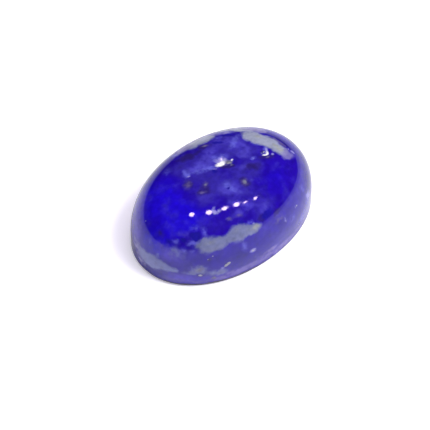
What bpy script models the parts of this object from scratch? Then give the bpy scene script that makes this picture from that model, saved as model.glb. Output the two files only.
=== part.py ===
"""An oval lapis lazuli cabochon: one solid with a high polished dome, an upright wall, a fine
bevel round its foot and a flat ground back. Metres, +Z up, the flat back on Z = 0."""

from math import copysign, cos, hypot, pi, radians, sin

import bmesh
import bpy

# Driving dimensions.
LENGTH = 0.0140            # longest way across, along X
WIDTH = 0.0099             # widest way across, along Y
HEIGHT = 0.00495           # flat back to the top of the dome
WALL_TOP = 0.00134         # where the upright wall starts to lean in
BEVEL_HEIGHT = 0.00030     # fine bevel that keeps the back's edge from chipping
BEVEL_INSET = 0.00016      # how far that bevel cuts in under the wall

# Form of the outline and of the dome.
OUTLINE_POWER = 2.04       # 2 is a true ellipse, more is fuller at the four corners
ROUND_SHARE = 0.40         # share of the dome's rise that follows a plain ellipse
SHOULDER_POWER = 8.0       # the rest stays level out to a full shoulder,
SHOULDER_FALL = 1.877      # and then falls to the wall this steeply

# Shallow hollows where the polish has undercut soft pyrite: middle, half sizes, turn and depth.
HOLLOWS = (
    {"x": 0.00062, "y": 0.00074, "long": 0.00085, "short": 0.00055, "turn": -30, "depth": 0.00010},
    {"x": 0.00352, "y": -0.00036, "long": 0.00060, "short": 0.00045, "turn": 20, "depth": 0.00008},
)

# How finely the curved faces are divided.
SEGMENTS = 112             # divisions round the oval
CROWN_ROWS = 20            # even rows from the top of the dome out to the shoulder
CROWN_REACH = 0.93         # share of the way out where the shoulder starts
SHOULDER_ROWS = 6          # rows from there down to the wall
ROW_CROWDING = 2.2         # how much those rows crowd towards the wall
SHARP_EDGE = radians(25)   # edges that turn more than this are not smoothed

STONE_BLUE = (0.030, 0.018, 0.420, 1.0)
POLISH_ROUGHNESS = 0.08


def clear_scene():
    for thing in list(bpy.data.objects):
        bpy.data.objects.remove(thing, do_unlink=True)


def outline():
    """Points round the oval, each as shares of the half length and the half width."""
    power = 2.0 / OUTLINE_POWER
    points = []
    for step in range(SEGMENTS):
        angle = 2 * pi * step / SEGMENTS
        across = cos(angle)
        along = sin(angle)
        points.append((copysign(abs(across) ** power, across), copysign(abs(along) ** power, along)))
    return points


def dome_height(share):
    """Height of the dome at a share of the way out from its middle to the outline."""
    plain = max(0.0, 1.0 - share ** 2) ** 0.5
    full = max(0.0, 1.0 - share ** SHOULDER_POWER) ** (1.0 / SHOULDER_FALL)
    rise = ROUND_SHARE * plain + (1.0 - ROUND_SHARE) * full
    return WALL_TOP + (HEIGHT - WALL_TOP) * rise


def hollow_depth(x, y):
    """How far the hollows sink the dome at a place."""
    depth = 0.0
    for hollow in HOLLOWS:
        turn = radians(hollow["turn"])
        east = x - hollow["x"]
        north = y - hollow["y"]
        along = (east * cos(turn) + north * sin(turn)) / hollow["long"]
        across = (north * cos(turn) - east * sin(turn)) / hollow["short"]
        inside = max(0.0, 1.0 - hypot(along, across) ** 2)
        depth += hollow["depth"] * inside ** 2
    return depth


def dome_shares():
    """Shares of the way out for every row of the dome: even on the crown, then crowding outwards."""
    crown = [CROWN_REACH * row / CROWN_ROWS for row in range(1, CROWN_ROWS + 1)]
    shoulder = []
    for row in range(1, SHOULDER_ROWS + 1):
        left = (1.0 - row / SHOULDER_ROWS) ** ROW_CROWDING
        shoulder.append(1.0 - (1.0 - CROWN_REACH) * left)
    return crown + shoulder


def build_stone_mesh():
    bm = bmesh.new()
    oval = outline()

    def add_ring(half_length, half_width, height_at):
        places = [(x * half_length, y * half_width) for x, y in oval]
        return [bm.verts.new((x, y, height_at(x, y))) for x, y in places]

    rings = []
    for share in dome_shares():
        top = dome_height(share)
        rings.append(add_ring(share * LENGTH / 2, share * WIDTH / 2, lambda x, y: top - hollow_depth(x, y)))
    rings.append(add_ring(LENGTH / 2, WIDTH / 2, lambda x, y: BEVEL_HEIGHT))
    rings.append(add_ring(LENGTH / 2 - BEVEL_INSET, WIDTH / 2 - BEVEL_INSET, lambda x, y: 0.0))

    summit = bm.verts.new((0.0, 0.0, HEIGHT - hollow_depth(0.0, 0.0)))
    middle_of_back = bm.verts.new((0.0, 0.0, 0.0))
    for index in range(SEGMENTS):
        after = (index + 1) % SEGMENTS
        bm.faces.new((summit, rings[0][index], rings[0][after]))
        for upper, lower in zip(rings, rings[1:]):
            bm.faces.new((upper[index], lower[index], lower[after], upper[after]))
        bm.faces.new((middle_of_back, rings[-1][after], rings[-1][index]))

    bmesh.ops.recalc_face_normals(bm, faces=bm.faces)
    mesh = bpy.data.meshes.new("lapis_cabochon")
    bm.to_mesh(mesh)
    bm.free()
    mesh.shade_smooth()
    mesh.set_sharp_from_angle(angle=SHARP_EDGE)
    return mesh


def polished_lapis():
    material = bpy.data.materials.new("polished_lapis")
    material.use_nodes = True
    shader = material.node_tree.nodes["Principled BSDF"]
    shader.inputs["Base Color"].default_value = STONE_BLUE
    shader.inputs["Roughness"].default_value = POLISH_ROUGHNESS
    shader.inputs["Metallic"].default_value = 0.0
    return material


clear_scene()
stone = bpy.data.objects.new("lapis_cabochon", build_stone_mesh())
stone.data.materials.append(polished_lapis())
bpy.context.scene.collection.objects.link(stone)
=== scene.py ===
from math import cos, pi, radians, sin

import bmesh
import bpy
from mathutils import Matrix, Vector


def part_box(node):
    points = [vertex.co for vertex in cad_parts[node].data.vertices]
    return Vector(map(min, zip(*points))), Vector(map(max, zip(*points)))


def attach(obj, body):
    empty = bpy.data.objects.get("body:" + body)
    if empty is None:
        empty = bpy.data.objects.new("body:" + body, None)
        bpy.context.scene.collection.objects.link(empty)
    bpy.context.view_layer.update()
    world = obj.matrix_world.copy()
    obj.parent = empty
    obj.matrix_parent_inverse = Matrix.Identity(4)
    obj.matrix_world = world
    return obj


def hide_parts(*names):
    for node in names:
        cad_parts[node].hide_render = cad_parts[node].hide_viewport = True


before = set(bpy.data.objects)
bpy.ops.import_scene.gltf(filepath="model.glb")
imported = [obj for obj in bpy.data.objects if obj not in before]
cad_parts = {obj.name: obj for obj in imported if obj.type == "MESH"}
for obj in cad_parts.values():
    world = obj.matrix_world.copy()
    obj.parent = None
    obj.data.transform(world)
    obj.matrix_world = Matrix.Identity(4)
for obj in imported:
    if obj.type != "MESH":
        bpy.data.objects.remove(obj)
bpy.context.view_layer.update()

# The camera looks down on the long side of the stone from its left end, from about 18 cm away,
# as a close-up lens does. The stone sits a few pixels right of the middle of the square frame and
# a little above it.
CAMERA_BEARING = radians(-40.9)
CAMERA_ELEVATION = radians(50)
CAMERA_DISTANCE = 0.175
CAMERA_LENS = 214
SENSOR = 36
FRAME_SIDE = 430
STONE_RIGHT_OF_MIDDLE = 6.8
STONE_ABOVE_MIDDLE = 18.85

stone_low, stone_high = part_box("lapis_cabochon")
stone_middle = (stone_low + stone_high) / 2

camera_data = bpy.data.cameras.new("camera")
camera_data.lens = CAMERA_LENS
camera_data.sensor_width = SENSOR
camera_data.shift_x = -STONE_RIGHT_OF_MIDDLE / FRAME_SIDE
camera_data.shift_y = -STONE_ABOVE_MIDDLE / FRAME_SIDE
camera_data.clip_start = 0.01
camera_data.clip_end = 10
camera = bpy.data.objects.new("camera", camera_data)
towards_camera = Vector((
    sin(CAMERA_BEARING) * cos(CAMERA_ELEVATION),
    -cos(CAMERA_BEARING) * cos(CAMERA_ELEVATION),
    sin(CAMERA_ELEVATION),
))
camera.location = stone_middle + towards_camera * CAMERA_DISTANCE
camera.rotation_mode = "QUATERNION"
camera.rotation_quaternion = (-towards_camera).to_track_quat("-Z", "Y")
bpy.context.scene.collection.objects.link(camera)
bpy.context.scene.camera = camera

# The studio: a white card table, bleached by the exposure, under two wide soft lamps. A white skirt
# round its edge rises a few degrees, and the room over that is dark, so the polish mirrors white only
# low down. Six small bare lamps on a bar high over the far side leave six points on the dome.
TABLE_RADIUS = 0.25
TABLE_SEGMENTS = 96
TABLE_GAP = 0.00001
TABLE_WHITE = "#EFEFF2"
TABLE_BLEACH = 0.38
BLEACH_TINT = "#F0EBFF"
SKIRT_RISE = radians(8.8)
SKIRT_SOFTNESS = radians(0.5)
SKIRT_GLOW = 0.95
SKIRT_WHITE = "#F6EFFF"
ROOM_GLOW = 0.012
BACKDROP_GLOW = 1.2

# Soft lamps: metres to the right and to the back in the picture, height, side, watts.
SOFT_LAMPS = (
    (0.00, -0.10, 0.55, 0.50, 1.9),
    (0.30, -0.06, 0.40, 0.24, 3.0),
)

# Bare lamps on the bar: x, y, half length and half breadth in metres, degrees turned.
LAMP_BAR_HEIGHT = 0.50
LAMP_GLOW = 30
LAMP_PINK = "#FFE0FF"
BARE_LAMPS = (
    (0.057, 0.154, 0.0215, 0.0098, 51),
    (0.110, 0.110, 0.0245, 0.0100, 63),
    (0.156, 0.082, 0.0200, 0.0105, 68),
    (0.193, 0.064, 0.0240, 0.0095, 77),
    (0.218, 0.035, 0.0110, 0.0066, 83),
    (0.2565, 0.006, 0.0230, 0.0072, 91),
)


def linear(hex_colour):
    """A colour written as sRGB hex, as the linear values that shaders take."""
    channels = [int(hex_colour[i:i + 2], 16) / 255 for i in (1, 3, 5)]
    return [c / 12.92 if c <= 0.04045 else ((c + 0.055) / 1.055) ** 2.4 for c in channels] + [1.0]


def add(tree, kind, inputs=None, **settings):
    """Adds a node, sets it up, and fills its inputs with values or links them to other nodes."""
    made = tree.nodes.new(kind)
    for name, value in settings.items():
        setattr(made, name, value)
    for name, value in (inputs or {}).items():
        if isinstance(value, bpy.types.Node):
            value = value.outputs[0]
        if isinstance(value, bpy.types.NodeSocket):
            tree.links.new(value, made.inputs[name])
        else:
            made.inputs[name].default_value = value
    return made


def new_material(name):
    material = bpy.data.materials.new(name)
    material.use_nodes = True
    material.node_tree.nodes.clear()
    return material, material.node_tree


# Matt card mirrors nothing and takes a soft shadow. What the camera sees of it is bleached besides.
card, nodes = new_material("matt_white_card")
white_card = add(nodes, "ShaderNodeBsdfDiffuse", {"Color": linear(TABLE_WHITE)})
seen = add(nodes, "ShaderNodeLightPath").outputs["Is Camera Ray"]
bleach = add(nodes, "ShaderNodeMath", {0: seen, 1: TABLE_BLEACH}, operation="MULTIPLY")
white_glow = add(nodes, "ShaderNodeEmission", {"Color": linear(BLEACH_TINT), "Strength": bleach})
lit_card = add(nodes, "ShaderNodeAddShader", {0: white_card, 1: white_glow})
add(nodes, "ShaderNodeOutputMaterial", {"Surface": lit_card})

table_mesh = bpy.data.meshes.new("table")
bm = bmesh.new()
bmesh.ops.create_circle(bm, cap_ends=True, segments=TABLE_SEGMENTS, radius=TABLE_RADIUS)
bm.to_mesh(table_mesh)
bm.free()
table_mesh.materials.append(card)
table = bpy.data.objects.new("table", table_mesh)
table.location.z = stone_low.z - TABLE_GAP
bpy.context.scene.collection.objects.link(table)

world = bpy.data.worlds.new("studio")
bpy.context.scene.world = world
world.use_nodes = True
nodes = world.node_tree
nodes.nodes.clear()
sky_direction = add(nodes, "ShaderNodeTexCoord").outputs["Generated"]
above_skirt = add(nodes, "ShaderNodeMapRange", {
    "Value": add(nodes, "ShaderNodeSeparateXYZ", {"Vector": sky_direction}).outputs["Z"],
    "From Min": sin(SKIRT_RISE - SKIRT_SOFTNESS),
    "From Max": sin(SKIRT_RISE + SKIRT_SOFTNESS),
    "To Min": SKIRT_GLOW,
    "To Max": ROOM_GLOW,
})
glow = add(nodes, "ShaderNodeMix", {
    "Factor": add(nodes, "ShaderNodeLightPath").outputs["Is Camera Ray"],
    "A": above_skirt.outputs["Result"],
    "B": BACKDROP_GLOW,
})
sky = add(nodes, "ShaderNodeBackground", {"Color": linear(SKIRT_WHITE), "Strength": glow})
add(nodes, "ShaderNodeOutputWorld", {"Surface": sky})

# The soft lamps light the stone. Of all the lamps, only the bare ones show in its polish.
picture_right = Vector((cos(CAMERA_BEARING), sin(CAMERA_BEARING), 0))
picture_back = Vector((-sin(CAMERA_BEARING), cos(CAMERA_BEARING), 0))
for to_right, to_back, lamp_height, lamp_side, watts in SOFT_LAMPS:
    data = bpy.data.lights.new("soft_lamp", "AREA")
    data.shape = "SQUARE"
    data.size = lamp_side
    data.energy = watts
    lamp = bpy.data.objects.new("soft_lamp", data)
    lamp.location = picture_right * to_right + picture_back * to_back + Vector((0, 0, lamp_height))
    lamp.rotation_mode = "QUATERNION"
    lamp.rotation_quaternion = (stone_middle - lamp.location).to_track_quat("-Z", "Y")
    lamp.visible_glossy = False
    lamp.visible_camera = False
    bpy.context.scene.collection.objects.link(lamp)

# A bare lamp's watts are its glow times pi times its area, so all six are equally bright.
for x, y, half_long, half_short, turn in BARE_LAMPS:
    data = bpy.data.lights.new("bar_lamp", "AREA")
    data.shape = "ELLIPSE"
    data.size = 2 * half_long
    data.size_y = 2 * half_short
    data.energy = LAMP_GLOW * pi * pi * half_long * half_short
    data.color = linear(LAMP_PINK)[:3]
    lamp = bpy.data.objects.new("bar_lamp", data)
    lamp.location = (x, y, LAMP_BAR_HEIGHT)
    lamp.rotation_euler.z = radians(turn)
    lamp.visible_camera = False
    bpy.context.scene.collection.objects.link(lamp)

bpy.context.scene.view_settings.view_transform = "Standard"

# The stone: one piece of lapis lazuli sawn, ground and polished by hand into an oval cabochon, with
# a full shoulder, an upright wall, a fine bevel and a flat back. It rests on the back, loose. Its
# form is the solid's own, with smaller facets.
LENGTH, WIDTH, HEIGHT = stone_high - stone_low
WALL_TOP = 0.00134
BEVEL_HEIGHT = 0.00030
BEVEL_INSET = 0.00016
OUTLINE_POWER = 2.04
ROUND_SHARE = 0.40
SHOULDER_POWER = 8.0
SHOULDER_FALL = 1.877
ROW_CROWDING = 1.8
SEGMENTS = 448
DOME_ROWS = 180
WALL_ROWS = 8
BEVEL_ROWS = 2
BACK_ROWS = 6
WELD_DISTANCE = 1e-7

# Hollows where the polish has undercut soft pyrite: x, y, half length and half breadth, degrees
# turned, depth.
HOLLOWS_MM = (
    (0.62, 0.74, 0.85, 0.55, -30, 0.10),
    (3.52, -0.36, 0.60, 0.45, 20, 0.08),
)

dome_tree = bpy.data.node_groups.new("oval_cabochon", "GeometryNodeTree")
for name, kind in (
    ("Length", "NodeSocketFloat"),
    ("Width", "NodeSocketFloat"),
    ("Height", "NodeSocketFloat"),
    ("Wall Top", "NodeSocketFloat"),
    ("Bevel Height", "NodeSocketFloat"),
    ("Bevel Inset", "NodeSocketFloat"),
    ("Segments", "NodeSocketInt"),
    ("Dome Rows", "NodeSocketInt"),
    ("Material", "NodeSocketMaterial"),
):
    dome_tree.interface.new_socket(name, in_out="INPUT", socket_type=kind)
dome_tree.interface.new_socket("Geometry", in_out="OUTPUT", socket_type="NodeSocketGeometry")
given = add(dome_tree, "NodeGroupInput").outputs

grid_place = add(dome_tree, "ShaderNodeSeparateXYZ", {0: add(dome_tree, "GeometryNodeInputPosition")})
round_share = add(dome_tree, "ShaderNodeMath", {0: grid_place.outputs["X"], 1: 0.5}, operation="ADD")
up_share = add(dome_tree, "ShaderNodeMath", {0: grid_place.outputs["Y"], 1: 0.5}, operation="ADD")
angle = add(dome_tree, "ShaderNodeMath", {0: round_share, 1: 2 * pi}, operation="MULTIPLY")
oval = []
for direction in ("COSINE", "SINE"):
    side = add(dome_tree, "ShaderNodeMath", {0: angle}, operation=direction)
    reach = add(dome_tree, "ShaderNodeMath", {0: side}, operation="ABSOLUTE")
    bent = add(dome_tree, "ShaderNodeMath", {0: reach, 1: 2 / OUTLINE_POWER}, operation="POWER")
    sign = add(dome_tree, "ShaderNodeMath", {0: side}, operation="SIGN")
    oval.append(add(dome_tree, "ShaderNodeMath", {0: bent, 1: sign}, operation="MULTIPLY"))

bands = []


def add_band(rows, share, inset, height):
    """One band of the surface: a grid bent round the oval at a share of its size and a height."""
    grid = add(dome_tree, "GeometryNodeMeshGrid", {
        "Size X": 1.0,
        "Size Y": 1.0,
        "Vertices X": add(dome_tree, "ShaderNodeMath", {0: given["Segments"], 1: 1}, operation="ADD"),
        "Vertices Y": add(dome_tree, "ShaderNodeMath", {0: rows, 1: 1}, operation="ADD"),
    })
    sides = []
    for side, whole in zip(oval, (given["Length"], given["Width"])):
        half = add(dome_tree, "ShaderNodeMath", {0: whole, 1: 0.5}, operation="MULTIPLY")
        half = add(dome_tree, "ShaderNodeMath", {0: half, 1: inset}, operation="SUBTRACT")
        half = add(dome_tree, "ShaderNodeMath", {0: half, 1: share}, operation="MULTIPLY")
        sides.append(add(dome_tree, "ShaderNodeMath", {0: side, 1: half}, operation="MULTIPLY"))
    place = add(dome_tree, "ShaderNodeCombineXYZ", {"X": sides[0], "Y": sides[1], "Z": height(*sides)})
    bands.append(add(dome_tree, "GeometryNodeSetPosition", {"Geometry": grid, "Position": place}))


def dome_height(x, y):
    """The dome over a place: a half-round and a squarer curve mixed, less the hollows."""
    squared = add(dome_tree, "ShaderNodeMath", {0: dome_share, 1: 2}, operation="POWER")
    round_fall = add(dome_tree, "ShaderNodeMath", {0: 1.0, 1: squared}, operation="SUBTRACT")
    round_rise = add(dome_tree, "ShaderNodeMath", {0: round_fall}, operation="SQRT")
    squarer = add(dome_tree, "ShaderNodeMath", {0: dome_share, 1: SHOULDER_POWER}, operation="POWER")
    full_fall = add(dome_tree, "ShaderNodeMath", {0: 1.0, 1: squarer}, operation="SUBTRACT")
    full_rise = add(dome_tree, "ShaderNodeMath", {0: full_fall, 1: 1 / SHOULDER_FALL}, operation="POWER")
    full_part = add(dome_tree, "ShaderNodeMath", {0: full_rise, 1: 1 - ROUND_SHARE}, operation="MULTIPLY")
    rise = add(dome_tree, "ShaderNodeMath", {
        0: round_rise,
        1: ROUND_SHARE,
        2: full_part,
    }, operation="MULTIPLY_ADD")
    room = add(dome_tree, "ShaderNodeMath", {
        0: given["Height"],
        1: given["Wall Top"],
    }, operation="SUBTRACT")
    top = add(dome_tree, "ShaderNodeMath", {
        0: room,
        1: rise,
        2: given["Wall Top"],
    }, operation="MULTIPLY_ADD")
    flat = add(dome_tree, "ShaderNodeCombineXYZ", {"X": x, "Y": y})
    for east, north, half_length, half_breadth, turn, depth in HOLLOWS_MM:
        middle = (east / 1000, north / 1000, 0)
        from_middle = add(dome_tree, "ShaderNodeVectorMath", {0: flat, 1: middle}, operation="SUBTRACT")
        local = add(dome_tree, "ShaderNodeVectorRotate", {"Vector": from_middle, "Angle": radians(-turn)})
        halves = (half_length / 1000, half_breadth / 1000, 1.0)
        spread = add(dome_tree, "ShaderNodeVectorMath", {0: local, 1: halves}, operation="DIVIDE")
        away = add(dome_tree, "ShaderNodeVectorMath", {0: spread}, operation="LENGTH").outputs["Value"]
        away = add(dome_tree, "ShaderNodeMath", {0: away, 1: 2}, operation="POWER")
        inside = add(dome_tree, "ShaderNodeMath", {0: 1.0, 1: away}, operation="SUBTRACT", use_clamp=True)
        bowl = add(dome_tree, "ShaderNodeMath", {0: inside, 1: 2}, operation="POWER")
        top = add(dome_tree, "ShaderNodeMath", {
            0: bowl,
            1: -depth / 1000,
            2: top,
        }, operation="MULTIPLY_ADD")
    return top


crowded = add(dome_tree, "ShaderNodeMath", {0: up_share, 1: ROW_CROWDING}, operation="POWER")
dome_share = add(dome_tree, "ShaderNodeMath", {0: 1.0, 1: crowded}, operation="SUBTRACT")
add_band(given["Dome Rows"], dome_share, 0.0, dome_height)
wall_rise = add(dome_tree, "ShaderNodeMath", {
    0: given["Wall Top"],
    1: given["Bevel Height"],
}, operation="SUBTRACT")
wall_height = add(dome_tree, "ShaderNodeMath", {
    0: wall_rise,
    1: up_share,
    2: given["Bevel Height"],
}, operation="MULTIPLY_ADD")
add_band(WALL_ROWS, 1.0, 0.0, lambda x, y: wall_height)
down_share = add(dome_tree, "ShaderNodeMath", {0: 1.0, 1: up_share}, operation="SUBTRACT")
bevel_inset = add(dome_tree, "ShaderNodeMath", {
    0: given["Bevel Inset"],
    1: down_share,
}, operation="MULTIPLY")
bevel_height = add(dome_tree, "ShaderNodeMath", {
    0: given["Bevel Height"],
    1: up_share,
}, operation="MULTIPLY")
add_band(BEVEL_ROWS, 1.0, bevel_inset, lambda x, y: bevel_height)
add_band(BACK_ROWS, up_share, given["Bevel Inset"], lambda x, y: 0.0)

joined = add(dome_tree, "GeometryNodeJoinGeometry")
for band in bands:
    dome_tree.links.new(band.outputs[0], joined.inputs[0])
welded = add(dome_tree, "GeometryNodeMergeByDistance", {"Geometry": joined, "Distance": WELD_DISTANCE})
smooth = add(dome_tree, "GeometryNodeSetShadeSmooth", {"Geometry": welded})
realized = add(dome_tree, "GeometryNodeRealizeInstances", {"Geometry": smooth})
finished = add(dome_tree, "GeometryNodeSetMaterial", {"Geometry": realized, "Material": given["Material"]})
add(dome_tree, "NodeGroupOutput", {"Geometry": finished})

# Polished lapis is lazurite rock, an opaque violet blue, ground and buffed to a glassy skin. Calcite
# shows in it as pale grey clouds, thin calcite as lilac haze, and rusty pyrite stains it brown. The
# deep blue is the rock between them. Each list after it holds bodies that the surface cuts, in
# millimetres: middle x, y and z, half length, half breadth and half height, degrees turned, weight.
# Most are bodies in the rock; some stand for painted light or shade, as their own comments say.
DEEP_BLUE = "#1D0886"

# Clear, strong blue: most of the left end, and low on the right.
CLEAR_BLUE = "#1A07B2"
CLEAR_MM = (
    (-4.7, 0.8, 4.4, 3.4, 2.6, 4.0, 60, 1.6),
    (-4.0, -1.2, 4.4, 2.2, 1.6, 4.0, -35, 1.4),
    (-6.7, -0.6, 3.0, 1.5, 2.4, 1.5, 90, 1.3),
    (2.6, -2.3, 4.6, 2.4, 1.5, 4.0, 30, 0.7),
)

# Deep violet in the wall round the right end: partly the rock's own colour, partly painted shade that
# darkens the wall where the side lamp lights it.
WALL_VIOLET_AND_SHADE = "#100070"
WALL_VIOLET_AND_SHADE_MM = (
    (5.6, -2.8, 2.7, 2.8, 1.8, 1.5, 48, 1.2),
    (6.6, -0.4, 3.0, 2.4, 1.4, 1.5, 85, 1.2),
    (-2.6, -4.6, 2.2, 1.5, 1.0, 0.8, -15, 0.7),
)

# Slightly clouded blue: the middle of the dome, the far wall and the back.
MIDDLE_BLUE = "#2D228C"
MIDDLE_MM = (
    (0.6, 1.6, 4.9, 3.2, 2.0, 3.0, 10, 1.4),
    (2.6, 0.2, 4.9, 2.0, 1.6, 3.0, 60, 1.0),
    (1.1, -1.0, 4.9, 1.8, 1.2, 3.0, -10, 1.2),
    (-1.2, -0.5, 4.9, 2.2, 1.5, 3.0, -50, 1.3),
    (0.2, -2.2, 4.9, 1.8, 1.2, 3.0, -50, 1.0),
    (0.6, -3.7, 4.2, 1.5, 0.8, 3.0, 20, 1.2),
    (-2.0, 2.3, 4.8, 1.3, 0.8, 3.0, 40, 0.7),
    (-2.4, -0.9, 4.8, 1.3, 0.8, 3.0, 30, 0.8),
    (-3.4, -2.6, 4.5, 1.5, 0.7, 3.0, -35, 0.7),
    (0.5, 4.9, 1.8, 3.0, 1.4, 1.8, 0, 1.1),
    (5.0, 3.2, 2.0, 2.0, 1.4, 1.6, -40, 1.0),
    (0.5, 0.0, 0.0, 5.0, 3.5, 0.8, 8, 1.1),
)

# Milky blue clouds.
CLOUD_BLUE = "#3F36A2"
CLOUD_MM = (
    (-0.8, 1.4, 4.9, 1.7, 0.8, 3.0, -18, 1.2),
    (0.5, 1.9, 4.9, 1.4, 0.8, 3.0, 20, 1.1),
    (2.2, 2.4, 4.6, 1.4, 0.7, 3.0, -30, 0.9),
    (2.4, 0.4, 4.9, 1.0, 0.7, 3.0, 50, 1.4),
    (2.4, 1.5, 4.8, 1.1, 0.7, 3.0, -20, 1.3),
    (1.6, 1.0, 4.9, 0.9, 0.5, 3.0, 0, 0.9),
    (1.5, -0.5, 4.9, 0.6, 0.4, 3.0, 0, 0.8),
    (-0.3, -1.6, 4.9, 1.2, 0.8, 3.0, -50, 1.1),
    (-1.0, -1.1, 4.9, 0.9, 0.6, 3.0, -40, 0.8),
    (-2.3, -0.8, 4.8, 1.0, 0.5, 3.0, -41, 0.5),
    (-0.9, -2.4, 4.8, 0.9, 0.5, 3.0, -40, 0.9),
    (-0.4, -3.0, 4.6, 1.0, 0.5, 3.0, -30, 1.1),
    (1.6, -2.1, 4.8, 0.7, 0.4, 3.0, 30, 0.6),
    (-1.2, -3.2, 4.5, 1.0, 0.5, 3.0, -20, 0.8),
    (0.6, -3.7, 4.2, 1.0, 0.4, 3.0, 10, 0.6),
    (-5.0, -1.9, 4.2, 1.2, 0.4, 3.0, -48, 0.6),
    (3.4, -1.6, 4.7, 0.6, 0.4, 3.0, 0, 0.5),
    (-4.7, 1.9, 4.2, 0.9, 0.3, 3.0, 60, 0.5),
    (-6.3, -1.2, 3.3, 0.8, 0.9, 0.6, -60, 0.9),
)

# Brighter violet rock in the wall round the left end.
LEFT_VIOLET = "#4434B4"
LEFT_VIOLET_MM = (
    (-5.4, 2.6, 3.2, 2.6, 1.6, 1.6, 55, 1.2),
    (-6.7, 1.4, 2.6, 1.8, 1.4, 1.3, 78, 0.9),
    (-5.9, -2.6, 0.9, 1.8, 1.2, 0.8, -50, 1.0),
    (-4.4, -4.0, 0.8, 1.8, 1.2, 0.7, -34, 0.8),
    (-6.3, -1.9, 2.7, 1.4, 1.2, 0.8, -60, 0.9),
)

# A lilac band low on the near wall: partly lilac rock, partly a painted reflection of the white table near
# the stone's foot.
BASE_LILAC_AND_REFLECTION = "#6054A2"
BASE_LILAC_AND_REFLECTION_MM = (
    (-6.2, -2.3, 0.65, 1.6, 1.2, 0.35, -55, 0.8),
    (-4.6, -3.9, 0.55, 1.8, 1.2, 0.35, -34, 0.9),
    (-2.9, -4.7, 0.7, 2.2, 1.2, 0.5, -14, 1.6),
    (0.0, -5.0, 0.75, 2.4, 1.2, 0.6, 0, 1.2),
    (2.2, -4.8, 0.6, 2.2, 1.2, 0.5, 12, 1.2),
    (4.4, -4.0, 0.6, 1.8, 1.2, 0.4, 36, 0.9),
    (0.2, -4.95, 1.25, 0.9, 1.0, 0.25, 8, 1.1),
)

# Lilac haze of thin calcite.
HAZE_LILAC = "#5352B4"
HAZE_MM = (
    (-1.85, 1.5, 4.8, 0.7, 0.35, 3.0, 60, 1.2),
    (-1.05, 1.4, 4.9, 1.3, 0.7, 3.0, -22, 0.7),
    (-0.9, 1.05, 4.9, 1.4, 0.35, 3.0, -25, 0.5),
    (-0.3, 0.8, 4.9, 0.6, 0.35, 3.0, -25, 1.1),
    (0.75, 1.15, 4.9, 0.9, 0.7, 3.0, -20, 1.2),
    (-0.43, -1.34, 4.9, 0.6, 0.4, 3.0, -60, 0.9),
    (-0.16, -1.9, 4.9, 0.5, 0.3, 3.0, -60, 0.8),
    (1.2, -1.75, 4.9, 0.3, 0.22, 3.0, 0, 0.6),
    (-0.3, -0.95, 4.9, 0.8, 0.55, 3.0, -40, 0.7),
    (2.23, 1.44, 4.8, 0.6, 0.4, 3.0, 10, 1.1),
    (2.9, 1.9, 4.7, 0.8, 0.45, 3.0, 20, 1.1),
    (2.9, 2.9, 4.3, 1.0, 0.4, 3.0, -35, 1.3),
    (2.2, 2.7, 4.5, 0.7, 0.3, 3.0, -35, 0.9),
    (2.54, -0.34, 4.85, 0.34, 0.26, 3.0, 0, 1.5),
    (3.75, -0.2, 4.7, 0.7, 0.3, 3.0, 50, 1.6),
    (3.7, 0.6, 4.7, 0.7, 0.35, 3.0, -60, 1.0),
    (-2.55, 2.75, 4.5, 0.8, 0.5, 3.0, 40, 0.7),
    (0.5, -3.75, 4.2, 0.9, 0.3, 1.5, 12, 0.5),
    (-0.95, -4.0, 4.1, 0.5, 0.25, 1.0, 0, 0.9),
    (-4.95, -2.5, 3.8, 0.6, 0.5, 0.4, -44, 1.1),
    (-4.6, -2.85, 3.75, 0.6, 0.5, 0.35, -38, 0.8),
    (-3.95, -2.75, 4.22, 0.6, 0.4, 0.7, 60, 0.8),
    (-4.27, -2.04, 4.4, 0.6, 0.4, 1.0, -30, 0.8),
    (-5.65, -1.75, 3.72, 0.55, 0.4, 0.35, -50, 0.8),
    (-1.9, -4.6, 2.9, 0.4, 1.0, 0.7, 0, 1.0),
    (-5.4, -2.5, 3.35, 1.4, 0.8, 0.3, -42, 0.8),
    (-5.45, -3.15, 1.5, 0.9, 1.0, 0.4, -38, 1.0),
    (-3.6, -4.25, 1.3, 0.7, 1.0, 0.4, -24, 1.0),
    (3.6, -4.3, 1.2, 1.8, 1.0, 0.7, 30, 0.8),
    (1.75, -4.75, 2.95, 0.35, 1.0, 0.5, 20, 0.8),
    (2.4, -4.6, 2.4, 0.7, 1.0, 0.7, 20, 0.6),
    (4.1, -3.5, 3.3, 0.4, 0.8, 0.5, 45, 0.8),
    (4.6, -3.75, 2.1, 0.8, 0.9, 0.9, 45, 1.0),
    (-0.9, 3.6, 4.2, 0.9, 0.8, 1.5, 15, 0.9),
    (-6.9, -0.2, 3.1, 0.8, 0.8, 0.7, 90, 0.8),
    (0.5, 4.9, 2.0, 1.6, 1.0, 0.9, 0, 1.2),
    (-1.5, 4.8, 3.1, 1.3, 1.0, 0.5, 4, 1.0),
    (-5.0, 3.4, 2.4, 1.4, 1.0, 0.9, 36, 1.1),
    (5.2, 3.2, 2.7, 1.3, 1.0, 0.8, -40, 1.2),
    (6.6, 1.3, 1.8, 1.1, 1.0, 0.8, -75, 1.0),
    (2.0, 2.0, 0.0, 2.6, 1.5, 0.5, 10, 1.1),
    (-2.5, -1.5, 0.0, 2.2, 1.2, 0.5, -15, 0.9),
)

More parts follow.
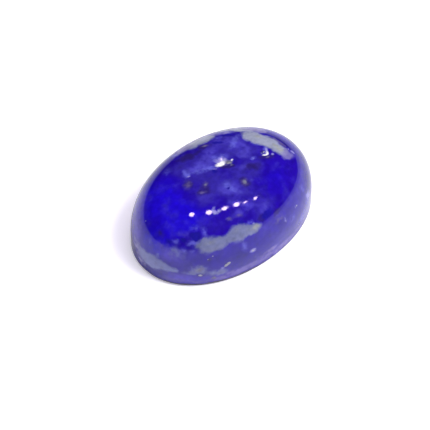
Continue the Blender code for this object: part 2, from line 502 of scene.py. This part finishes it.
# Grey wisps in the wall.
WISP_GREY = "#5C6096"
WISP_MM = (
    (-5.0, -3.45, 1.85, 0.95, 1.0, 0.6, -38, 1.2),
    (-5.5, -3.1, 1.5, 0.8, 1.0, 0.3, -38, 0.9),
    (-4.1, -4.05, 1.25, 1.1, 1.0, 0.5, -28, 1.1),
    (-3.6, -4.3, 1.15, 0.7, 1.0, 0.35, -24, 0.8),
    (-5.9, -2.2, 2.8, 1.2, 1.0, 0.7, -52, 0.45),
    (-6.0, -1.9, 3.3, 1.2, 1.0, 0.6, -55, 0.45),
    (1.0, 4.8, 2.3, 1.4, 1.0, 0.5, -4, 0.9),
    (-4.4, 3.9, 2.2, 1.2, 1.0, 0.5, 30, 0.8),
    (6.2, 2.2, 1.6, 1.0, 1.0, 0.5, -65, 0.9),
)

# Dark smoke of fine pyrite dust.
DARK_SMOKE = "#251A66"
DARK_SMOKE_MM = (
    (-0.84, 2.75, 4.7, 0.95, 0.5, 3.0, -30, 1.5),
    (0.3, 2.6, 4.7, 0.7, 0.3, 3.0, 10, 0.8),
    (0.81, 2.74, 4.7, 0.7, 0.4, 3.0, -35, 1.6),
    (1.95, -0.9, 4.9, 0.95, 0.65, 3.0, -35, 1.1),
    (0.67, -1.62, 4.9, 0.75, 0.6, 3.0, 50, 1.3),
    (-2.35, 0.7, 4.8, 0.9, 0.55, 3.0, 50, 0.9),
    (-1.7, -0.2, 4.9, 0.9, 0.5, 3.0, 20, 1.0),
    (-1.9, -0.5, 4.9, 0.9, 0.5, 3.0, -40, 0.9),
    (0.55, 0.2, 4.95, 0.75, 0.22, 3.0, -32, 1.8),
    (0.95, 0.03, 4.95, 0.35, 0.25, 3.0, -20, 1.5),
    (3.3, -0.8, 4.7, 0.8, 0.35, 3.0, -30, 1.3),
    (3.42, -0.2, 4.75, 0.3, 0.2, 3.0, 0, 1.0),
    (-0.05, -4.15, 4.0, 0.5, 0.3, 0.6, 0, 1.3),
    (-6.05, -0.7, 3.8, 0.9, 0.6, 0.6, -70, 0.6),
    (1.2, -4.3, 3.75, 0.7, 0.5, 0.3, 12, 1.2),
    (-3.35, -4.3, 1.85, 0.4, 1.0, 0.34, -24, 1.2),
    (-4.95, -3.5, 1.3, 0.5, 1.0, 0.3, -38, 0.9),
    (-4.3, -3.7, 2.6, 0.4, 1.0, 0.3, -20, 0.8),
)

# Brown stains where pyrite has rusted.
SMOKE_BROWN = "#51487A"
SMOKE_BROWN_MM = (
    (-2.4, 0.8, 4.8, 0.75, 0.5, 3.0, 50, 0.95),
    (-1.5, -0.05, 4.9, 0.45, 0.34, 3.0, 50, 1.1),
    (-2.06, -0.45, 4.9, 0.5, 0.3, 3.0, -41, 1.0),
    (0.67, -1.62, 4.9, 0.6, 0.45, 3.0, 46, 1.2),
    (1.6, -0.6, 4.9, 0.4, 0.3, 3.0, 45, 0.6),
    (0.81, 2.78, 4.7, 0.5, 0.25, 3.0, -35, 1.1),
    (-2.0, -3.1, 4.4, 0.4, 0.22, 2.0, -29, 1.0),
    (-1.35, -3.3, 4.5, 0.55, 0.25, 2.0, -14, 0.8),
    (3.38, -0.86, 4.7, 0.3, 0.18, 3.0, -10, 1.5),
    (0.55, 0.42, 4.95, 0.5, 0.16, 3.0, -32, 1.0),
    (-5.0, -3.45, 1.9, 0.7, 1.0, 0.45, -38, 0.9),
    (1.2, -4.5, 3.3, 0.9, 1.0, 0.5, 12, 0.8),
    (-4.2, -4.0, 0.75, 0.5, 1.0, 0.3, -30, 1.0),
    (1.4, 4.8, 1.3, 0.6, 1.0, 0.4, -4, 1.1),
    (-2.4, 4.7, 2.5, 0.5, 1.0, 0.3, 8, 1.0),
    (5.9, 2.6, 1.5, 0.6, 1.0, 0.4, -55, 1.0),
    (-1.6, 0.4, 0.0, 0.9, 0.5, 0.5, 30, 1.0),
    (5.1, -0.35, 4.38, 0.7, 0.26, 3.0, -80, 1.3),
    (5.0, 0.35, 4.42, 0.6, 0.2, 3.0, -75, 0.9),
)

# Olive grey hearts of those stains.
OLIVE_GREY = "#66677F"
OLIVE_MM = (
    (0.7, -1.57, 4.9, 0.26, 0.22, 3.0, 46, 1.4),
    (-1.5, -0.02, 4.9, 0.22, 0.18, 3.0, 50, 1.0),
    (-2.5, 0.9, 4.8, 0.25, 0.2, 3.0, 50, 0.3),
    (0.96, 0.5, 4.9, 0.45, 0.34, 3.0, -40, 1.6),
    (0.95, 0.1, 4.9, 0.22, 0.14, 3.0, -30, 1.2),
    (0.81, 2.78, 4.7, 0.35, 0.2, 3.0, -35, 0.7),
    (3.3, -0.3, 4.75, 0.25, 0.16, 3.0, 0, 0.8),
    (-5.0, -3.35, 1.75, 0.4, 1.0, 0.3, -38, 1.0),
    (-4.2, -4.0, 0.75, 0.3, 1.0, 0.2, -30, 1.0),
)

# Almost black blue, in short veins and in shade along the calcite.
NAVY = "#181280"
NAVY_MM = (
    (-4.5, -2.5, 4.12, 0.5, 0.42, 0.34, -40, 1.7),
    (-4.62, -2.68, 3.95, 0.3, 0.4, 0.2, -40, 1.5),
    (-5.24, -2.09, 3.9, 0.3, 0.3, 0.25, -47, 1.5),
    (-5.95, -1.42, 3.65, 0.45, 0.4, 0.28, -60, 1.3),
    (-0.35, 0.5, 4.95, 0.25, 0.12, 3.0, -30, 1.4),
    (0.34, -4.15, 3.98, 0.8, 0.4, 0.35, 10, 1.1),
    (1.71, 2.38, 4.6, 0.7, 0.22, 3.0, -41, 1.5),
    (2.72, 2.53, 4.5, 0.6, 0.2, 3.0, -41, 1.4),
    (-0.35, 0.33, 4.95, 0.3, 0.14, 3.0, -30, 1.4),
    (-1.5, -3.7, 4.3, 0.3, 0.2, 1.0, 0, 1.2),
    (5.22, 0.6, 4.33, 0.9, 0.24, 2.0, -70, 1.8),
    (5.42, -0.3, 4.25, 0.9, 0.24, 2.0, -80, 1.8),
    (5.52, -1.0, 4.13, 0.5, 0.22, 2.0, -85, 1.5),
    (5.65, -1.6, 4.0, 0.35, 0.25, 1.0, 80, 1.3),
    (4.9, -2.3, 4.0, 1.3, 0.25, 1.0, 52, 0.6),
    (0.6, -4.05, 4.0, 0.7, 0.3, 0.6, 12, 0.9),
    (-0.55, -1.28, 4.9, 0.2, 0.16, 3.0, 0, 1.3),
    (1.34, 0.3, 4.9, 0.2, 0.12, 3.0, 50, 1.2),
    (-0.6, 4.9, 1.1, 1.3, 1.0, 0.5, 0, 1.2),
    (4.4, 3.8, 3.3, 1.1, 1.0, 0.4, -32, 1.2),
    (-3.9, 4.1, 3.2, 1.0, 1.0, 0.4, 24, 1.2),
)

# Small paler flecks and veils in the haze, and a painted glow round the painted highlights by the hollows.
PALE_HAZE_AND_GLOW = "#7F7BB8"
PALE_HAZE_AND_GLOW_MM = (
    # These two rows paint the glow round the highlight on the first hollow.
    (0.75, 0.9, 4.9, 0.75, 0.5, 3.0, -25, 1.4),
    (-0.11, 0.55, 4.9, 0.5, 0.22, 3.0, -32, 0.8),
    (-1.85, 1.25, 4.8, 0.25, 0.14, 3.0, -25, 1.2),
    (-2.6, -2.1, 4.8, 0.42, 0.24, 3.0, -60, 1.2),
    (-2.3, -2.25, 4.8, 0.48, 0.24, 3.0, 10, 1.2),
    (-2.35, -1.9, 4.8, 0.36, 0.22, 3.0, 40, 0.9),
    # These two rows paint the glow round the highlight on the second hollow.
    (3.78, -0.28, 4.7, 0.45, 0.18, 3.0, 60, 1.6),
    (3.81, -0.82, 4.7, 0.2, 0.14, 3.0, 0, 1.3),
    (2.52, -0.36, 4.85, 0.15, 0.12, 3.0, 0, 1.0),
    (5.32, -1.3, 4.2, 0.22, 0.18, 1.0, 80, 1.6),
    (5.2, -1.0, 4.27, 0.2, 0.14, 1.0, 80, 1.2),
    (-0.75, -4.1, 4.1, 0.26, 0.12, 1.0, -8, 1.1),
    (-1.35, -4.85, 2.2, 0.42, 1.0, 0.25, 0, 1.5),
    (-3.6, -4.25, 1.6, 0.35, 1.0, 0.3, -24, 1.0),
    (3.0, -4.4, 2.92, 0.22, 1.0, 0.26, 20, 1.0),
    (4.7, -3.6, 2.2, 0.6, 0.8, 0.8, 45, 1.2),
    (1.66, -4.62, 2.8, 0.2, 1.0, 0.5, 15, 0.8),
    (-6.9, 0.9, 1.8, 1.4, 1.2, 0.9, 90, 1.1),
    (-7.0, 0.3, 0.9, 1.1, 1.2, 0.6, 90, 1.1),
)

# Calcite: the broad vein along the near shoulder.
CALCITE_GREY = "#62678C"
FRONT_CALCITE_MM = (
    (-4.6, -2.95, 3.66, 0.7, 1.5, 0.3, -38, 1.2),
    (-4.25, -3.3, 3.52, 0.9, 1.5, 0.76, -34, 2.0),
    (-3.7, -3.55, 3.62, 1.0, 1.5, 0.68, -28, 2.4),
    (-3.1, -3.8, 3.7, 0.7, 1.5, 0.46, -22, 1.6),
    (-2.6, -4.0, 3.8, 0.6, 1.5, 0.36, -18, 1.3),
    (-2.15, -4.05, 3.76, 0.85, 1.5, 0.76, -14, 2.3),
    (-1.65, -4.2, 3.8, 0.8, 1.5, 0.56, -10, 1.8),
    (-1.15, -4.3, 3.76, 0.8, 1.5, 0.5, -6, 1.8),
    (-0.65, -4.4, 3.66, 0.75, 1.5, 0.4, -4, 1.8),
    (-3.7, -3.7, 3.3, 0.6, 1.5, 0.3, -26, 0.7),
)

# Calcite: the vein low round the left end.
CALCITE_BLUISH = "#6A71AC"
LEFT_CALCITE_MM = (
    (-6.95, 0.25, 1.8, 0.7, 1.5, 0.7, 90, 1.8),
    (-6.95, -0.1, 1.4, 0.8, 1.5, 0.6, 90, 1.5),
    (-6.95, -0.4, 1.85, 0.8, 1.5, 0.7, -88, 1.8),
    (-6.9, -0.85, 1.25, 0.8, 1.5, 0.45, -80, 1.5),
    (-6.85, -0.9, 1.85, 0.8, 1.5, 0.75, -80, 2.2),
    (-6.65, -1.45, 1.75, 0.8, 1.5, 0.65, -70, 2.0),
    (-6.45, -1.95, 1.65, 0.8, 1.5, 0.5, -62, 1.9),
    (-6.15, -2.35, 1.65, 0.5, 1.5, 0.45, -56, 1.5),
    (-6.65, -1.1, 2.55, 0.22, 1.0, 0.3, -75, 1.0),
)

# Calcite: the veins on the far shoulder, the far wall and the back.
CALCITE_PALE = "#858AA0"
BACK_CALCITE_MM = (
    (3.55, 1.6, 4.65, 0.7, 0.6, 3.0, -55, 1.2),
    (3.9, 1.25, 4.6, 0.85, 0.75, 3.0, -55, 2.2),
    (4.2, 0.8, 4.6, 0.8, 0.85, 3.0, -60, 2.2),
    (4.42, 0.3, 4.6, 0.8, 0.8, 3.0, -68, 2.2),
    (4.5, -0.25, 4.6, 0.75, 0.72, 3.0, -80, 2.2),
    (4.55, -0.75, 4.55, 0.6, 0.66, 3.0, -85, 2.0),
    (4.65, -1.15, 4.5, 0.5, 0.6, 3.0, -90, 1.7),
    (4.3, 2.1, 4.3, 1.3, 0.7, 3.0, -40, 2.0),
    (0.6, 3.55, 4.3, 1.4, 0.75, 3.0, -6, 2.4),
    (1.4, 3.4, 4.4, 1.0, 0.65, 3.0, -20, 2.4),
    (2.8, 3.4, 4.1, 1.1, 0.5, 3.0, -25, 1.6),
    (3.7, 2.9, 4.1, 1.0, 0.6, 3.0, -35, 2.0),
    (2.6, 4.6, 2.7, 1.4, 1.2, 0.8, -14, 2.0),
    (3.7, 4.2, 2.2, 1.0, 1.0, 0.5, -26, 1.6),
    (-3.2, 4.4, 1.5, 1.3, 1.0, 0.6, 14, 1.5),
    (-2.2, 4.7, 1.9, 0.7, 1.0, 0.4, 8, 1.2),
    (1.0, -1.0, 0.0, 4.6, 0.5, 0.6, 25, 1.6),
    (-3.0, 1.6, 0.0, 1.6, 0.8, 0.5, -20, 1.5),
)

# Lilac fringes where the far shoulder's calcite thins out.
CALCITE_LILAC = "#6C669A"
LILAC_MM = (
    (1.0, 3.5, 4.3, 1.6, 0.5, 3.0, -8, 0.4),
    (2.85, 2.85, 4.4, 0.55, 0.3, 3.0, -30, 1.0),
    (2.3, 3.45, 4.25, 0.8, 0.35, 3.0, -20, 0.8),
    (4.7, -1.45, 4.4, 0.35, 0.3, 3.0, 80, 1.0),
    (-0.3, 3.75, 4.2, 1.0, 0.6, 3.0, 5, 1.3),
    (4.4, 2.1, 4.2, 1.2, 0.45, 3.0, -50, 1.2),
    (4.8, 1.45, 4.3, 0.7, 0.3, 3.0, -58, 0.9),
    (4.75, -1.35, 4.35, 0.6, 0.75, 3.0, 90, 1.7),
    (4.95, 1.7, 4.2, 0.9, 0.4, 3.0, -60, 1.1),
    (4.95, -0.95, 4.35, 0.5, 0.22, 3.0, 80, 0.9),
)

# Olive stain in the calcite.
CALCITE_OLIVE = "#878A84"
OLIVE_CALCITE_MM = (
    (4.25, 1.05, 4.6, 0.7, 0.3, 3.0, -52, 1.3),
    (4.65, -0.4, 4.5, 0.6, 0.3, 3.0, -80, 1.7),
    (4.55, -0.85, 4.5, 0.4, 0.25, 3.0, -70, 1.3),
    (-0.55, -4.42, 3.68, 0.5, 1.0, 0.3, 0, 1.4),
    (-1.2, -4.3, 3.78, 0.7, 1.0, 0.3, 0, 0.7),
    (-2.1, -4.1, 3.95, 0.6, 1.0, 0.3, 0, 0.7),
    (-3.9, -3.4, 3.7, 0.8, 1.0, 0.3, -30, 0.8),
    (-5.0, -3.45, 1.9, 0.5, 1.0, 0.3, -38, 0.9),
    (0.5, 3.8, 4.2, 0.7, 0.4, 3.0, 0, 0.7),
)

# The dark edge outside the far shoulder's calcite.
RIM_NAVY = "#1B1070"
RIM_NAVY_MM = (
    (5.18, 0.7, 4.3, 0.6, 0.2, 2.0, -78, 1.3),
    (5.3, 0.1, 4.3, 0.6, 0.18, 2.0, -80, 1.6),
    (5.36, -0.45, 4.2, 0.6, 0.2, 2.0, -85, 1.6),
    (5.45, -0.95, 4.2, 0.5, 0.16, 2.0, -85, 1.3),
)

# Painted highlights: white patches on the hollows and in small pits, for light that the polish mirrors
# there.
PAINTED_HIGHLIGHT_WHITE = "#E6E6E4"
PAINTED_HIGHLIGHT_MM = (
    (0.42, 0.72, 4.95, 0.5, 0.3, 3.0, -5, 1.7),
    (0.75, 0.8, 4.95, 0.5, 0.35, 3.0, 0, 0.7),
    (1.29, 0.44, 4.9, 0.15, 0.12, 3.0, 0, 1.3),
    (3.37, -0.54, 4.8, 0.3, 0.14, 3.0, -20, 1.5),
    (3.64, -0.5, 4.8, 0.3, 0.16, 3.0, 60, 1.2),
    (-4.95, -3.55, 1.3, 0.22, 0.5, 0.16, -38, 0.8),
)

# A glassy skin over an opaque body gives small sharp lights and a clear mirror image low down.
POLISH_ROUGHNESS = 0.05
LAZURITE_IOR = 1.50
stone_material, nodes = new_material("lapis_hand_polished")
place = add(nodes, "ShaderNodeTexCoord").outputs["Object"]
place_mm = add(nodes, "ShaderNodeVectorMath", {0: place, "Scale": 1000}, operation="SCALE")


def unevenness(tree, source, spacing_mm, detail=3.0, shift=0.0):
    """Three smooth uneven values of a spacing in millimetres, centred on zero; a shift gives others."""
    moved = add(tree, "ShaderNodeVectorMath", {0: source, 1: (shift, shift, shift)}, operation="ADD")
    grain = add(tree, "ShaderNodeTexNoise", {"Vector": moved, "Scale": 1 / spacing_mm, "Detail": detail})
    return add(tree, "ShaderNodeVectorMath", {
        0: grain.outputs["Color"],
        1: (0.5, 0.5, 0.5),
    }, operation="SUBTRACT")


def wander(tree, source, spacing_mm, reach_mm):
    """The source moved about by smooth noise of a spacing and a reach."""
    drift = add(tree, "ShaderNodeVectorMath", {
        0: unevenness(tree, source, spacing_mm),
        "Scale": 2 * reach_mm,
    }, operation="SCALE")
    return add(tree, "ShaderNodeVectorMath", {0: source, 1: drift}, operation="ADD")


def share_of(tree, source, bodies, thin, full, ragged, spacing_mm, strength=1.0):
    """How much of a kind of body shows: each fades from its middle out, and its edge is ragged."""
    total = 0.0
    for x, y, z, along, across, up, turn, weight in bodies:
        local = add(tree, "ShaderNodeMapping", {
            "Vector": source,
            "Location": (x, y, z),
            "Rotation": (0, 0, radians(turn)),
            "Scale": (along, across, up),
        }, vector_type="TEXTURE")
        cone = add(tree, "ShaderNodeTexGradient", {"Vector": local}, gradient_type="SPHERICAL")
        total = add(tree, "ShaderNodeMath", {
            0: cone.outputs["Fac"],
            1: weight,
            2: total,
        }, operation="MULTIPLY_ADD")
    rags = add(tree, "ShaderNodeSeparateXYZ", {
        0: unevenness(tree, source, spacing_mm, detail=4.0, shift=len(bodies)),
    })
    tears = add(tree, "ShaderNodeMath", {0: rags, 1: 2 * ragged, 2: 1.0}, operation="MULTIPLY_ADD")
    total = add(tree, "ShaderNodeMath", {0: total, 1: tears}, operation="MULTIPLY")
    return add(tree, "ShaderNodeMapRange", {
        "Value": total,
        "From Min": thin,
        "From Max": full,
        "To Max": strength,
    }, interpolation_type="SMOOTHSTEP")


# No body in the rock has an even outline, so all of them are placed on ground that wanders.
loose = wander(nodes, place_mm, spacing_mm=1.0, reach_mm=0.16)
loose = wander(nodes, loose, spacing_mm=0.4, reach_mm=0.10)

# A faint fog of paler blue drifts through all of the rock.
FOG_BLUE = "#362C98"
FOG_SHARE = 0.45
drifts = unevenness(nodes, place_mm, spacing_mm=0.9, detail=5.0, shift=7.0)
fog = add(nodes, "ShaderNodeMapRange", {
    "Value": add(nodes, "ShaderNodeSeparateXYZ", {0: drifts}),
    "From Min": -0.05,
    "From Max": 0.25,
    "To Max": FOG_SHARE,
}, interpolation_type="SMOOTHSTEP")

# Each layer is laid over the ones before it, from the deep blue up to the painted highlights: its colour
# and its share. The four numbers are the weights where it starts to show and where it hides what is under
# it, how ragged its edge is, and the spacing of the rags in millimetres. A strength under 1 lets what
# is under it show through.
under = linear(DEEP_BLUE)
for over, share in (
    (CLEAR_BLUE, share_of(nodes, loose, CLEAR_MM, -0.1, 1.3, 1.0, 1.6)),
    (FOG_BLUE, fog),
    (WALL_VIOLET_AND_SHADE, share_of(nodes, loose, WALL_VIOLET_AND_SHADE_MM, 0.0, 1.0, 0.6, 1.2)),
    (MIDDLE_BLUE, share_of(nodes, loose, MIDDLE_MM, 0.1, 1.0, 1.3, 0.9)),
    (CLOUD_BLUE, share_of(nodes, loose, CLOUD_MM, 0.1, 1.2, 1.6, 0.5)),
    (LEFT_VIOLET, share_of(nodes, loose, LEFT_VIOLET_MM, 0.0, 1.0, 0.6, 1.0)),
    (BASE_LILAC_AND_REFLECTION, share_of(nodes, loose, BASE_LILAC_AND_REFLECTION_MM, 0.0, 1.5, 1.2, 0.5)),
    (HAZE_LILAC, share_of(nodes, loose, HAZE_MM, 0.1, 1.5, 1.6, 0.35)),
    (WISP_GREY, share_of(nodes, loose, WISP_MM, 0.1, 1.1, 1.4, 0.4)),
    (DARK_SMOKE, share_of(nodes, loose, DARK_SMOKE_MM, 0.15, 1.0, 1.2, 0.45)),
    (SMOKE_BROWN, share_of(nodes, loose, SMOKE_BROWN_MM, 0.2, 1.2, 1.0, 0.35)),
    (OLIVE_GREY, share_of(nodes, loose, OLIVE_MM, 0.2, 1.2, 0.6, 0.3)),
    (NAVY, share_of(nodes, loose, NAVY_MM, 0.2, 1.0, 0.9, 0.4)),
    (PALE_HAZE_AND_GLOW, share_of(nodes, loose, PALE_HAZE_AND_GLOW_MM, 0.3, 1.3, 1.0, 0.3)),
    (CALCITE_GREY, share_of(nodes, loose, FRONT_CALCITE_MM, 0.35, 1.8, 0.8, 0.5)),
    (CALCITE_BLUISH, share_of(nodes, loose, LEFT_CALCITE_MM, 0.3, 2.0, 1.0, 0.6)),
    (CALCITE_PALE, share_of(nodes, loose, BACK_CALCITE_MM, 0.35, 1.8, 0.8, 0.5)),
    (CALCITE_LILAC, share_of(nodes, loose, LILAC_MM, 0.2, 1.0, 1.0, 0.5, strength=0.8)),
    (CALCITE_OLIVE, share_of(nodes, loose, OLIVE_CALCITE_MM, 0.2, 1.4, 1.2, 0.4, strength=0.7)),
    (RIM_NAVY, share_of(nodes, loose, RIM_NAVY_MM, 0.1, 1.1, 1.2, 0.3)),
    # The last layer is painted highlight.
    (PAINTED_HIGHLIGHT_WHITE, share_of(nodes, loose, PAINTED_HIGHLIGHT_MM, 0.1, 1.2, 0.6, 0.2)),
):
    mixed = add(nodes, "ShaderNodeMix", {0: share, 6: under, 7: linear(over)}, data_type="RGBA")
    under = mixed.outputs[2]

# The grains of the rock differ in depth of colour, which mottles every layer alike.
MOTTLE_DARKEST = 0.78
MOTTLE_PALEST = 1.22
WIDE_MOTTLE_SHARE = 0.6
mottle = add(nodes, "ShaderNodeSeparateXYZ", {
    0: unevenness(nodes, place_mm, spacing_mm=1.3, detail=6.0),
})
fine_mottle = add(nodes, "ShaderNodeSeparateXYZ", {
    0: unevenness(nodes, place_mm, spacing_mm=0.35, detail=3.0),
})
both_mottles = add(nodes, "ShaderNodeMath", {
    0: mottle,
    1: WIDE_MOTTLE_SHARE,
    2: fine_mottle,
}, operation="MULTIPLY_ADD")
mottled = add(nodes, "ShaderNodeMapRange", {
    "Value": both_mottles,
    "From Min": -0.3,
    "From Max": 0.3,
    "To Min": MOTTLE_DARKEST,
    "To Max": MOTTLE_PALEST,
})
rock = add(nodes, "ShaderNodeVectorMath", {0: under, "Scale": mottled}, operation="SCALE")

# Pyrite grains are cut flush by the polish: a dull pale metal, which gleams softly in the glassy rock.
# Its grey colour is partly its own and partly a painted reflection of the white table. Its list has the
# same values as those of the other bodies.
PYRITE_GREY_AND_REFLECTION = "#8E8F9A"
PYRITE_METALLIC = 0.3
PYRITE_ROUGHNESS = 0.45
PYRITE_MM = (
    (-3.4, -4.34, 1.78, 0.22, 1.0, 0.2, -24, 1.3),
    (-3.2, -4.4, 1.94, 0.2, 1.0, 0.18, -24, 1.3),
    (-1.3, -4.8, 2.2, 0.16, 1.0, 0.13, 0, 1.1),
    (3.06, -4.25, 2.92, 0.12, 1.0, 0.14, 20, 0.8),
    (-4.42, -3.69, 2.64, 0.15, 1.0, 0.1, -30, 0.75),
    (-4.1, -3.83, 2.78, 0.15, 1.0, 0.1, -30, 0.7),
    (-4.95, -3.55, 1.3, 0.15, 1.0, 0.12, -38, 1.1),
    (-6.0, 0.85, 3.75, 0.14, 0.5, 0.1, -85, 0.7),
    (0.95, 0.38, 4.9, 0.3, 0.16, 3.0, -40, 1.0),
    (3.5, -0.3, 4.8, 0.18, 0.12, 3.0, 20, 1.0),
    (1.5, 4.85, 1.6, 0.2, 1.0, 0.14, -4, 1.3),
    (1.8, 4.8, 1.75, 0.13, 1.0, 0.1, -6, 1.1),
    (-2.2, 4.7, 2.5, 0.18, 1.0, 0.12, 8, 1.2),
    (-4.6, 3.7, 1.2, 0.2, 1.0, 0.14, 30, 1.2),
    (3.3, 4.4, 1.8, 0.16, 1.0, 0.13, -22, 1.1),
    (6.2, 2.0, 2.4, 0.2, 0.8, 0.14, -65, 1.2),
    (5.0, 3.4, 1.0, 0.16, 1.0, 0.12, -40, 1.2),
    (0.2, 4.95, 3.1, 0.16, 1.0, 0.1, 0, 1.1),
    (0.4, -1.3, 0.0, 0.28, 0.18, 0.5, 20, 1.3),
    (2.3, -0.4, 0.0, 0.16, 0.14, 0.5, 0, 1.2),
    (-3.6, 1.3, 0.0, 0.2, 0.13, 0.5, 50, 1.2),
)
metal = share_of(nodes, loose, PYRITE_MM, 0.35, 0.75, 0.5, 0.15)
body = add(nodes, "ShaderNodeMix", {0: metal, 6: rock, 7: linear(PYRITE_GREY_AND_REFLECTION)}, data_type="RGBA")

# The bevel and the back are only ground, not polished: both are matt, and the back is pale with fine dust
# in its scratches. The bevel and the foot of the wall are darkened with painted shade, for the shadow where
# the stone meets the table.
BEVEL_PAINTED_SHADE = "#241834"
BEVEL_SHADE_SHARE = 0.9
BACK_DUST = "#4B4780"
DUST_SHARE = 0.6
BACK_TOP_MM = 0.005
GROUND_TOP_MM = 0.38
GROUND_FULL_MM = 0.30
GROUND_ROUGHNESS = 0.5
rise_mm = add(nodes, "ShaderNodeSeparateXYZ", {0: loose}).outputs["Z"]
flat_mm = add(nodes, "ShaderNodeSeparateXYZ", {0: place_mm}).outputs["Z"]
ground = add(nodes, "ShaderNodeMapRange", {
    "Value": rise_mm,
    "From Min": GROUND_TOP_MM,
    "From Max": GROUND_FULL_MM,
}, interpolation_type="SMOOTHSTEP")
# Painted shade: a dark band over the bevel and the foot of the wall.
bevel_shade = add(nodes, "ShaderNodeMath", {0: ground, 1: BEVEL_SHADE_SHARE}, operation="MULTIPLY")
body = add(nodes, "ShaderNodeMix", {0: bevel_shade, 6: body.outputs[2], 7: linear(BEVEL_PAINTED_SHADE)}, data_type="RGBA")
dusted = add(nodes, "ShaderNodeMix", {0: DUST_SHARE, 6: rock, 7: linear(BACK_DUST)}, data_type="RGBA")
on_back = add(nodes, "ShaderNodeMath", {0: flat_mm, 1: BACK_TOP_MM}, operation="LESS_THAN")
body = add(nodes, "ShaderNodeMix", {0: on_back, 6: body.outputs[2], 7: dusted.outputs[2]}, data_type="RGBA")
polished = add(nodes, "ShaderNodeMapRange", {
    "Value": metal,
    "To Min": POLISH_ROUGHNESS,
    "To Max": PYRITE_ROUGHNESS,
})
roughness = add(nodes, "ShaderNodeMapRange", {
    "Value": ground,
    "To Min": polished,
    "To Max": GROUND_ROUGHNESS,
})

# Hand polishing leaves the skin a few thousandths of a millimetre uneven, so mirrored edges waver.
WAVE_RISE = 0.0000045
waves = add(nodes, "ShaderNodeSeparateXYZ", {
    0: unevenness(nodes, place_mm, spacing_mm=1.5, detail=2.0, shift=3.0),
})
wavy = add(nodes, "ShaderNodeBump", {"Height": waves, "Strength": 1.0, "Distance": WAVE_RISE})
skin = add(nodes, "ShaderNodeBsdfPrincipled", {
    "Base Color": body.outputs[2],
    "Metallic": add(nodes, "ShaderNodeMath", {0: metal, 1: PYRITE_METALLIC}, operation="MULTIPLY"),
    "Roughness": roughness,
    "IOR": LAZURITE_IOR,
    "Normal": wavy,
})
add(nodes, "ShaderNodeOutputMaterial", {"Surface": skin})

# The tree's result is kept as a plain mesh that is smooth but for the edges of the bevel.
SHARP_EDGE = radians(25)
holder = bpy.data.objects.new("stone_maker", bpy.data.meshes.new("stone_maker"))
bpy.context.scene.collection.objects.link(holder)
maker = holder.modifiers.new("oval_cabochon", "NODES")
maker.node_group = dome_tree
settings = {
    "Length": LENGTH,
    "Width": WIDTH,
    "Height": HEIGHT,
    "Wall Top": WALL_TOP,
    "Bevel Height": BEVEL_HEIGHT,
    "Bevel Inset": BEVEL_INSET,
    "Segments": SEGMENTS,
    "Dome Rows": DOME_ROWS,
    "Material": stone_material,
}
for item in dome_tree.interface.items_tree:
    if item.in_out == "INPUT":
        maker[item.identifier] = settings[item.name]
made = holder.evaluated_get(bpy.context.evaluated_depsgraph_get())
stone_mesh = bpy.data.meshes.new_from_object(made)
bpy.data.objects.remove(holder)
stone_mesh.name = "polished_stone"
bm = bmesh.new()
bm.from_mesh(stone_mesh)
bmesh.ops.recalc_face_normals(bm, faces=bm.faces)
bm.to_mesh(stone_mesh)
bm.free()
stone_mesh.set_sharp_from_angle(angle=SHARP_EDGE)
stone = bpy.data.objects.new("polished_stone", stone_mesh)
bpy.context.scene.collection.objects.link(stone)
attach(stone, "root")
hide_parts("lapis_cabochon")
